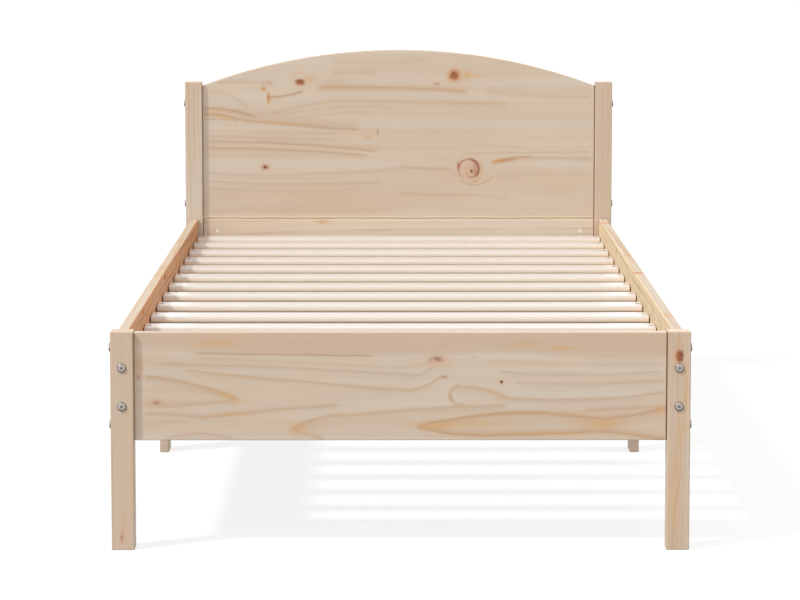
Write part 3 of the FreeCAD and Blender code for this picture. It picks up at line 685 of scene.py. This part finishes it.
def board_place(start, axes):
    """Give a point's place along the grain, across the face and through the thickness, in millimetres."""
    place = start.add("ShaderNodeTexCoord", {}, {}, "Object")
    parts = [place.add("ShaderNodeSeparateXYZ", {}, {0: place}, AXES.index(axis)) for axis in axes]
    return [part * MM_PER_M for part in parts]


def facing(start, axis):
    """Tell how far a surface faces along an axis, from -1 to 1."""
    normal = start.add("ShaderNodeNewGeometry", {}, {}, "Normal")
    return normal.add("ShaderNodeSeparateXYZ", {}, {0: normal}, AXES.index(axis))


def drawn_noise(place, patches, seed=0.0):
    """Give noise in patches, set off by a piece's own seed."""
    along, across, depth = place
    shift = patches.seed + seed
    vector = along.add("ShaderNodeCombineXYZ", {}, {
        "X": along / patches.length + shift,
        "Y": across / patches.width + shift,
        "Z": depth / patches.width,
    })
    sockets = {"Vector": vector, "Scale": 1.0, "Detail": patches.detail}
    noise = vector.add("ShaderNodeTexNoise", {}, sockets)
    return noise.step(*patches.levels) if patches.levels else noise - NOISE_MIDDLE


def weighed(shares, *fields):
    """Add up fields by their shares."""
    total = 0.0
    for share, field in zip(shares, fields):
        total = field * share + total
    return total


def mark_distance(along, across, mark):
    """Squared distance from a mark, in units of its half length and half width."""
    right = (along - mark.along) / mark.half_along
    up = (across - mark.across) / mark.half_across
    return squared(right) + squared(up)


def mark_shape(along, across, mark):
    """Fade out from a mark that climbs across the board as it runs along it."""
    level = across - (along - mark.along) * mark.slope
    away = mark_distance(along, level, mark)
    return (away ** mark.edge).bell() * mark.strength


def arc_shape(along, across, arc):
    """Draw the part of a circle that faces one way."""
    right = along - arc.along
    up = across - arc.across
    reach = (squared(right) + squared(up)).math("SQRT")
    way = math.radians(arc.facing)
    turned = (right * math.cos(way) + up * math.sin(way)) / reach
    return squared((reach - arc.radius) / arc.width).bell() * turned.step(*ARC_ENDS) * arc.strength


def part_round_knots(along, across, knots):
    """Push the grain aside above and below each knot."""
    parted = across
    for knot in knots:
        reach = squared((along - knot.along) / (knot.half_along * PARTING_ALONG))
        reach = reach + squared((across - knot.across) / (knot.half_across * PARTING_ACROSS))
        parted = parted - (across - knot.across) * reach.bell() * PARTING_SHARE
    return parted


def ring_phase(place, timber):
    """Count growth rings out from the pith, bent by knots and by the marks set on the timber."""
    along, across, depth = place
    wander = drawn_noise(place, WANDER, timber.seed) * WANDER_REACH
    ripple = drawn_noise(place, RIPPLE, timber.seed) * RIPPLE_REACH
    grain = part_round_knots(along, across, timber.knots) + wander + ripple + along * timber.slope
    out = (squared(grain - timber.pith_across) + squared(depth - timber.pith_depth)).math("SQRT")
    crowding = out.add(
        "ShaderNodeTexNoise", {"noise_dimensions": "1D"},
        {"W": out / CROWDING_STRETCH + timber.seed, "Scale": 1.0, "Detail": 1.0},
    )
    phase = out / timber.ring + crowding * CROWDING_RINGS
    for bend in timber.bends:
        phase = phase + mark_distance(along, across, bend).bell() * bend.rings
    return phase


def ring_line(phase, seed):
    """Dark line at the outer side of each ring, stronger in some rings than in others."""
    turn = phase.math("FRACT")
    strength = phase.add(
        "ShaderNodeTexWhiteNoise", {"noise_dimensions": "1D"}, {"W": phase.math("FLOOR") + seed}
    )
    shade = turn.step(RING_ONSET, RING_PEAK) * (1.0 - turn.step(RING_PEAK, 1.0))
    return shade * (squared(strength) * (1.0 - FAINTEST_RING) + FAINTEST_RING)


def grain_line(along, across, line):
    """Draw a curved grain line, dark at its core."""
    sockets = {"Value": along, "From Min": line.start, "From Max": line.end}
    turn = along.add("ShaderNodeMapRange", {"clamp": False}, sockets)
    inside = turn - squared(turn)
    away = across - (turn * line.rise + inside * (line.sag / LINE_MIDDLE) + line.level)
    edge = (away / line.above).math("MAXIMUM", away / -line.below)
    return edge.bell() * inside.step(0.0, LINE_FADE) * line.strength


def extent(node, axis):
    """Give a node's lowest and highest place along an axis, in millimetres."""
    places = [corner[AXES.index(axis)] * MM_PER_M for corner in frame["nodes"][node].bound_box]
    return min(places), max(places)


def half_length(node, axis):
    """Give half the length of a node along an axis, in millimetres."""
    low, high = extent(node, axis)
    return (high - low) / 2


def knot_strength(levels, knot):
    """Work out the strength of a part of a knot from how dark the knot is."""
    least, more = levels
    return least + more * knot.darkness


def pine_knots(colour, place, timber, look):
    """Lay the knots over the wood, and tell where they are rough."""
    along, across, _ = place
    mottle = drawn_noise(place, MOTTLE, timber.seed)
    broken = drawn_noise(place, BREAKS, timber.seed)
    rough = 0.0
    for knot in timber.knots:
        away = mark_distance(along, across, knot).math("SQRT") + mottle * KNOT_RAGGEDNESS
        growth = (away * KNOT_RINGS + mottle).math("FRACT").step(*KNOT_RING_LINE)
        halo = squared(away * HALO_FADE).bell() * (HALO_SHARE * knot.halo)
        heart = (1.0 - away.step(*KNOT_HEART)) * knot_strength(HEART_STRENGTH, knot)
        core = (1.0 - away.step(*KNOT_CORE)) * knot.darkness ** 2
        arcs = growth * broken * (1.0 - away.step(*KNOT_RIM)) * knot_strength(ARC_STRENGTH, knot)
        bark = core.math("MAXIMUM", arcs)
        colour = colour.mix(halo, look.knot_halo).mix(heart, look.knot_heart).mix(bark, look.knot_bark)
        rough = bark + rough
    return colour, rough


def joint_shade_lines(along, node, timber):
    """Draw the dark lines at a board's ends, partly their own dark colour and partly painted shade of the
    gaps, each as strong as the timber says.
    """
    first, last = timber.butted
    end = half_length(node, timber.axes[0])
    line = along.math("ABSOLUTE").step(end - JOINT_LINE, end - JOINT_LINE / 2)
    return line * (along.step(-1.0, 1.0) * (last - first) + first)


def sawn_faces(start, timber):
    """Find a piece's sawn ends, and its top where that was sawn to an arch, darkened partly as end grain
    and partly as painted shade.
    """
    sawn = facing(start, timber.axes[0]).math("ABSOLUTE").step(*SAWN_END)
    if timber.sawn_top:
        sawn = sawn.math("MAXIMUM", facing(start, "Z").step(*SAWN_AND_SHADED_ARCH))
    return sawn


def make_pine(node, timber, look):
    """Make the clear-lacquered pine of one piece."""
    material, start = new_material(f"pine_{node}")
    place = board_place(start, timber.axes)
    along, across, depth = place
    phase = ring_phase(place, timber)
    fade = drawn_noise(place, FADE, timber.seed)
    rings = ring_line(phase, timber.seed) * (fade * (1.0 - FADED_RING) + FADED_RING)
    fine_rings = ring_line(phase * FINE_RINGS, timber.seed + FINE_RING_SEED)
    figure = (rings + fine_rings * FINE_RING_SHARE) * (timber.ring_share * look.ring_depth)
    wash = drawn_noise(place, WASH, timber.seed) * timber.wash
    band = drawn_noise(place, BAND, timber.seed) * BAND_SHARE
    cloud = drawn_noise(place, CLOUD, timber.seed)
    fibre = drawn_noise(place, FIBRE, timber.seed)
    wavy = across + drawn_noise(place, WAVE, timber.seed) * WAVE_REACH

    colour = start.colour(look.sapwood).mix(wash, look.blush).mix(band, look.amber)
    for mark in timber.washes:
        colour = colour.mix(mark_shape(along, across, mark), getattr(look, mark.tint))
    colour = colour.mix(figure, look.latewood)
    if timber.heart_face:
        shallow, deep, tint = timber.heart_face
        flame = drawn_noise(place, FLAME, timber.seed) * FLAME_SHARE + (1.0 - FLAME_SHARE)
        heart = start.colour(getattr(look, tint)).scaled(1.0 - rings * HEART_RING)
        colour = colour.mix(depth.step(shallow, deep) * flame, heart)
    drawn = 0.0
    for line in timber.lines:
        drawn = grain_line(along, wavy, line).math("MAXIMUM", drawn)
    if timber.lines:
        colour = colour.mix(drawn, look.latewood)
    colour = colour.scaled((1.0 + cloud * CLOUD_SHARE + fibre * FIBRE_SHARE) * timber.tone)
    for mark in timber.marks:
        colour = colour.mix(mark_shape(along, wavy, mark), getattr(look, mark.tint))
    for arc in timber.arcs:
        colour = colour.mix(arc_shape(along, wavy, arc), getattr(look, arc.tint))
    colour, rough = pine_knots(colour, place, timber, look)
    # Dark lines at the ends, partly painted shade of the gaps.
    if timber.butted:
        colour = colour.mix(joint_shade_lines(along, node, timber), look.joint_and_gap_shade)
    colour = colour.mix(sawn_faces(start, timber) * SAWN_SHARE, look.end_grain_and_shade)

    grown = figure + drawn * LINE_RELIEF
    finish_material(start, {
        "Base Color": colour,
        "Roughness": look.roughness + weighed(ROUGHNESS_SHARES, grown, fibre, rough),
        "Specular IOR Level": timber.gloss,
        "Normal": relief(start, weighed(RELIEF_SHARES, grown, fibre, rough), look.pore_height),
    })
    return material


# Slat wood

# Grain lines of the slats: how far apart they lie, lean, wander and are set off from slat to slat
SLAT_LINE_SPACING = 7.0
SLAT_LINE_LEAN = 0.02
SLAT_WANDER = Patches(500, 60, 1, 3)
SLAT_WANDER_REACH = 18.0
SLAT_SHIFT = 90.0
SLAT_LINE_SEED = 5.0
SLAT_WASH = Patches(500, 26, 2, 9)
SLAT_FIBRE = Patches(50, 1.1, 3, 17)
# Painted light and shade by how far up a face looks: underside to edge, edge to shoulders, shoulders to top
EDGE_RISE = (-0.9, 0.05)
SHOULDER_RISE = (0.1, 0.5)
TOP_RISE = (0.75, 0.99)
# Shares in the colour, and of lines and fibres in the roughness and relief
SLAT_BLUSH_SHARE = 0.15
SLAT_LINE_SHARE = 0.12
SLAT_WASH_SHARE = 0.04
SLAT_FIBRE_SHARE = 0.02
SLAT_FLECK_SHARE = 0.7
SLAT_ROUGHNESS_SHARES = (0.04, 0.04)
SLAT_RELIEF_SHARES = (0.4, 1.0)
# Small brown marks: one on a slat, and one round each screw
SLAT_FLECK = Knot(145.9, -703.5, 5, 3, 0.5, 0.3)
SCREW_RADIUS = 3.5
SCREW_MARK = 4.5


def make_slat_wood(look):
    """Make the sanded wood of all the slats, each with its own tone and dark marks round its screws."""
    material, start = new_material("slat_wood")
    place = board_place(start, AXES)
    along, across, _ = place
    pitch = sum(extent("slat_08", "Y")) / 2 - sum(extent("slat_07", "Y")) / 2
    number = (across / pitch).math("ROUND")
    tone = start.add("ShaderNodeTexWhiteNoise", {"noise_dimensions": "1D"}, {"W": number})
    lean = along * SLAT_LINE_LEAN * (tone - NOISE_MIDDLE)
    wander = drawn_noise(place, SLAT_WANDER) * SLAT_WANDER_REACH
    lines = ring_line((across + lean + wander + tone * SLAT_SHIFT) / SLAT_LINE_SPACING, SLAT_LINE_SEED)
    wash = drawn_noise(place, SLAT_WASH)
    fibre = drawn_noise(place, SLAT_FIBRE)
    # Painted light and shade: darker underside, lighter edges and darker shoulders than the tops.
    up = facing(start, "Z")
    colour = start.colour(look.under).mix(up.step(*EDGE_RISE), look.edge)
    colour = colour.mix(up.step(*SHOULDER_RISE), look.shaded_shoulder).mix(up.step(*TOP_RISE), look.pale)
    colour = colour.mix(tone * SLAT_BLUSH_SHARE, look.blush)
    colour = colour.mix(lines * SLAT_LINE_SHARE, look.line)
    colour = colour.scaled(1.0 + wash * SLAT_WASH_SHARE + fibre * SLAT_FIBRE_SHARE)
    screw = half_length("slat_screws", "X") - SCREW_RADIUS
    screw_mark = squared(along.math("ABSOLUTE") - screw) + squared(across - number * pitch)
    screw_mark = (screw_mark / SCREW_MARK ** 2).bell()
    fleck = mark_distance(along, across, SLAT_FLECK).bell().math("MAXIMUM", screw_mark)
    colour = colour.mix(fleck * SLAT_FLECK_SHARE, look.fleck)
    finish_material(start, {
        "Base Color": colour,
        "Roughness": look.roughness + weighed(SLAT_ROUGHNESS_SHARES, lines, fibre),
        "Normal": relief(start, weighed(SLAT_RELIEF_SHARES, lines, fibre), look.pore_height),
    })
    return material


# Zinc

RAIL_BOLTS = ("front_rail_bolts", "rear_rail_bolts")
# Dull patches and fine scuffs of the zinc, their shares, and the scuffs' depth in metres
DULL_PATCHES = Patches(2.4, 2.4, 3, 1, (0.35, 0.7))
DULL_SHARE = 0.35
SCUFFS = Patches(0.35, 0.35, 2, 2)
ZINC_ROUGHNESS_SHARES = (0.12, 0.1)
SCUFF_DEPTH = 0.00003
# Depths below a bolt head's face between which painted shade darkens its socket, and how dark it gets
SOCKET_DEPTHS = (0.4, 1.6)
SOCKET_SHADE = 0.55
# How square on a head's face lies where the rim ends, and the painted shade on the rim, by the bolts' axis
RIM_TURN = (0.6, 1.0)
RIM_SHADE = {"X": 0.1, "Y": 1.0}
# How far up a face looks where the painted shade ends, and how far that shade leans right, by the bolts'
# axis
LIT_RISE = (-0.25, -0.02)
SHADE_LEAN = {"X": 0.0, "Y": 0.2}


def make_zinc(name, bright, dull, shade_and_dull, roughness, edge_tint, head=None):
    """Make zinc plate with dull patches and fine scuffs, darkened with painted shade where it faces down.

    A bolt's head is given by its axis and how far out its face lies. Painted shade darkens its rim and
    socket too.
    """
    material, start = new_material(name)
    place = board_place(start, AXES)
    patches = drawn_noise(place, DULL_PATCHES)
    scuffs = drawn_noise(place, SCUFFS)
    colour = start.colour(bright).mix(patches * DULL_SHARE, dull)
    rise = facing(start, "Z")
    if head:
        axis, reach = head
        sunk = reach - place[AXES.index(axis)].math("ABSOLUTE")
        # Painted shade in the socket and on the rim.
        socket = sunk.step(*SOCKET_DEPTHS) * SOCKET_SHADE
        rim = (1.0 - facing(start, axis).math("ABSOLUTE").step(*RIM_TURN)) * RIM_SHADE[axis]
        colour = colour.mix(socket.math("MAXIMUM", rim), dull)
        # The painted shade leans right, away from the key light.
        rise = rise - facing(start, "X") * SHADE_LEAN[axis]
    finish_material(start, {
        # Painted shade where the zinc faces down.
        "Base Color": start.colour(shade_and_dull).mix(rise.step(*LIT_RISE), colour),
        "Metallic": 1.0,
        "Roughness": roughness + weighed(ZINC_ROUGHNESS_SHARES, patches, scuffs),
        "Specular Tint": edge_tint,
        "Normal": relief(start, scuffs, SCUFF_DEPTH),
    })
    return material


def make_bolt_zinc(node, steel):
    """Make the zinc of bolts that run along the rails, or across the bed into the boards."""
    axis = "Y" if node in RAIL_BOLTS else "X"
    reach = max(abs(place) for place in extent(node, axis))
    # Colour of the painted shade: dark for bolts along the rails, dull zinc for the others.
    shade_and_dull = steel.shade_and_dull if axis == "Y" else steel.bolt_dull_and_shade
    return make_zinc(
        f"zinc_{node}", steel.bolt, steel.bolt_dull_and_shade, shade_and_dull, steel.bolt_roughness, steel.bolt, (axis, reach)
    )


# Operators


def dress(nodes, material):
    """Give nodes of the frame a material."""
    for node in nodes:
        piece = frame["nodes"][node]
        piece.data.materials.clear()
        piece.data.materials.append(material)


def dress_in_pine(timbers, look):
    """Give each named node pine sawn as its timber says."""
    for node, timber in timbers.items():
        dress([node], make_pine(node, timber, look))


class BED_OT_posts(bpy.types.Operator):
    """Finish the four corner posts in pine"""

    bl_idname = "bed.posts"
    bl_label = "Posts"

    def execute(self, context):
        dress_in_pine({
            "front_post_left": FRONT_POST_LEFT,
            "front_post_right": FRONT_POST_RIGHT,
            "rear_post_left": REAR_POST_LEFT,
            "rear_post_right": REAR_POST_RIGHT,
        }, context.scene.bed_pine)
        return {"FINISHED"}


class BED_OT_end_boards(bpy.types.Operator):
    """Finish the footboard, the head rail and the arched headboard in pine"""

    bl_idname = "bed.end_boards"
    bl_label = "End boards"

    def execute(self, context):
        boards = {"footboard": FOOTBOARD, "head_rail": HEAD_RAIL, "headboard_panel": HEADBOARD}
        dress_in_pine(boards, context.scene.bed_pine)
        return {"FINISHED"}


class BED_OT_side_rails(bpy.types.Operator):
    """Finish the side rails in pine"""

    bl_idname = "bed.side_rails"
    bl_label = "Side rails"

    def execute(self, context):
        rails = {"side_rail_left": SIDE_RAIL_LEFT, "side_rail_right": SIDE_RAIL_RIGHT}
        dress_in_pine(rails, context.scene.bed_pine)
        return {"FINISHED"}


class BED_OT_battens(bpy.types.Operator):
    """Finish the middle legs, their cleats and the slat ledgers in pine"""

    bl_idname = "bed.battens"
    bl_label = "Legs and battens"

    def execute(self, context):
        dress_in_pine(BATTENS, context.scene.bed_pine)
        return {"FINISHED"}


class BED_OT_slats(bpy.types.Operator):
    """Finish the slats in pale sanded wood"""

    bl_idname = "bed.slats"
    bl_label = "Slats"

    def execute(self, context):
        slats = [subpart["node"] for subpart in frame["record"]["subparts"]
                 if subpart["material_slot"] == "slat_wood"]
        dress(slats, make_slat_wood(context.scene.bed_slats))
        return {"FINISHED"}


class BED_OT_fasteners(bpy.types.Operator):
    """Finish the bolts, barrel nuts and screws in zinc"""

    bl_idname = "bed.fasteners"
    bl_label = "Bolts and screws"

    def execute(self, context):
        steel = context.scene.bed_steel
        # The nuts and the screws take their dull zinc as painted shade where they face down.
        nut = make_zinc(
            "nut_zinc", steel.nut, steel.nut_dull_and_shade, steel.nut_dull_and_shade, steel.nut_roughness, steel.nut
        )
        screw = make_zinc(
            "screw_zinc", steel.screw, steel.shade_and_dull, steel.shade_and_dull, steel.screw_roughness, steel.shade_and_dull
        )
        for subpart in frame["record"]["subparts"]:
            node = subpart["node"]
            if subpart["material_slot"] == "screw_steel":
                dress([node], screw)
            elif subpart["material_slot"] == "bolt_steel":
                dress([node], nut if node.endswith("nuts") else make_bolt_zinc(node, steel))
        return {"FINISHED"}


def seen_ray(start):
    """Mark rays that show a surface itself, straight or in gloss and glass."""
    names = ("Is Camera Ray", "Is Glossy Ray", "Is Transmission Ray")
    camera, glossy, through = [start.add("ShaderNodeLightPath", {}, {}, name) for name in names]
    return camera.math("MAXIMUM", glossy).math("MAXIMUM", through)


def make_floor(stage):
    """Lay a pale floor that looks white and still takes the bed's shadow."""
    material, start = new_material("pale_floor")
    shadowed = start.add("ShaderNodeBsdfDiffuse", {}, {"Color": stage.floor_seen})
    glow = start.add("ShaderNodeEmission", {}, {"Color": WHITE, "Strength": stage.floor_glow})
    seen = start.add("ShaderNodeAddShader", {}, {0: shadowed, 1: glow})
    bounce = start.add("ShaderNodeBsdfDiffuse", {}, {"Color": stage.floor_bounce})
    surface = start.add("ShaderNodeMixShader", {}, {0: seen_ray(start), 1: bounce, 2: seen})
    start.add("ShaderNodeOutputMaterial", {}, {"Surface": surface})

    half = stage.floor_size / 2
    mesh = bpy.data.meshes.new("floor")
    corners = [(-half, -half, 0), (half, -half, 0), (half, half, 0), (-half, half, 0)]
    mesh.from_pydata(corners, [], [(0, 1, 2, 3)])
    mesh.materials.append(material)
    floor = bpy.data.objects.new("floor", mesh)
    bpy.context.scene.collection.objects.link(floor)


def make_sky(stage):
    """Light the stage evenly from all round, and show white behind it."""
    world = bpy.data.worlds.new("studio")
    world.use_nodes = True
    world.node_tree.nodes.clear()
    start = Field(world.node_tree)
    even = start.add("ShaderNodeBackground", {}, {"Color": WHITE, "Strength": stage.sky})
    white = start.add("ShaderNodeBackground", {}, {"Color": WHITE, "Strength": 1.0})
    surface = start.add("ShaderNodeMixShader", {}, {0: seen_ray(start), 1: even, 2: white})
    start.add("ShaderNodeOutputWorld", {}, {"Surface": surface})
    bpy.context.scene.world = world


def make_lamp(name, kind, settings):
    """Add a lamp to the scene."""
    light = bpy.data.lights.new(name, kind)
    for setting, given in settings.items():
        setattr(light, setting, given)
    lamp = bpy.data.objects.new(name, light)
    bpy.context.scene.collection.objects.link(lamp)
    return lamp


class BED_OT_stage(bpy.types.Operator):
    """Lay the floor and set the lamps and the camera"""

    bl_idname = "bed.stage"
    bl_label = "Stage"

    def execute(self, context):
        scene = context.scene
        stage = scene.bed_stage
        scene.view_settings.view_transform = "Standard"
        make_floor(stage)
        make_sky(stage)
        for name in ("key", "fill", "back"):
            settings = {
                "energy": getattr(stage, f"{name}_strength"),
                "angle": getattr(stage, f"{name}_spread"),
            }
            lamp = make_lamp(f"{name}_light", "SUN", settings)
            lamp.rotation_euler = getattr(stage, f"{name}_travel").to_track_quat("-Z", "Y").to_euler()
        top = make_lamp("top_light", "AREA", {"energy": stage.top_power, "size": stage.top_size})
        top.location = (0.0, 0.0, stage.top_height)

        view = bpy.data.cameras.new("camera")
        view.sensor_width = SENSOR_WIDTH
        view.lens = stage.camera_lens
        view.clip_end = stage.floor_size * 2
        camera = bpy.data.objects.new("camera", view)
        camera.location = stage.camera_place
        camera.rotation_euler = (math.pi / 2 - stage.camera_tilt, 0.0, stage.camera_turn)
        scene.collection.objects.link(camera)
        scene.camera = camera
        return {"FINISHED"}


OPERATORS = (
    BED_OT_posts,
    BED_OT_end_boards,
    BED_OT_side_rails,
    BED_OT_battens,
    BED_OT_slats,
    BED_OT_fasteners,
    BED_OT_stage,
)


class BED_PT_panel(bpy.types.Panel):
    """Finishes and stage of the bed"""

    bl_idname = "BED_PT_panel"
    bl_label = "Pine Bed Frame"
    bl_space_type = "VIEW_3D"
    bl_region_type = "UI"
    bl_category = "Bed"

    def draw(self, context):
        for operator in OPERATORS:
            self.layout.operator(operator.bl_idname)


SETTINGS = {
    "bed_pine": PineSettings,
    "bed_slats": SlatSettings,
    "bed_steel": SteelSettings,
    "bed_stage": StageSettings,
}
CLASSES = (*SETTINGS.values(), *OPERATORS, BED_PT_panel)


def register():
    for member in CLASSES:
        bpy.utils.register_class(member)
    for name, group in SETTINGS.items():
        setattr(bpy.types.Scene, name, bpy.props.PointerProperty(type=group))


def unregister():
    for name in SETTINGS:
        delattr(bpy.types.Scene, name)
    for member in reversed(CLASSES):
        bpy.utils.unregister_class(member)


def main():
    register()
    bpy.ops.bed.stage()
    bpy.ops.bed.posts()
    bpy.ops.bed.end_boards()
    bpy.ops.bed.side_rails()
    bpy.ops.bed.battens()
    bpy.ops.bed.slats()
    bpy.ops.bed.fasteners()


if __name__ == "__main__":
    main()
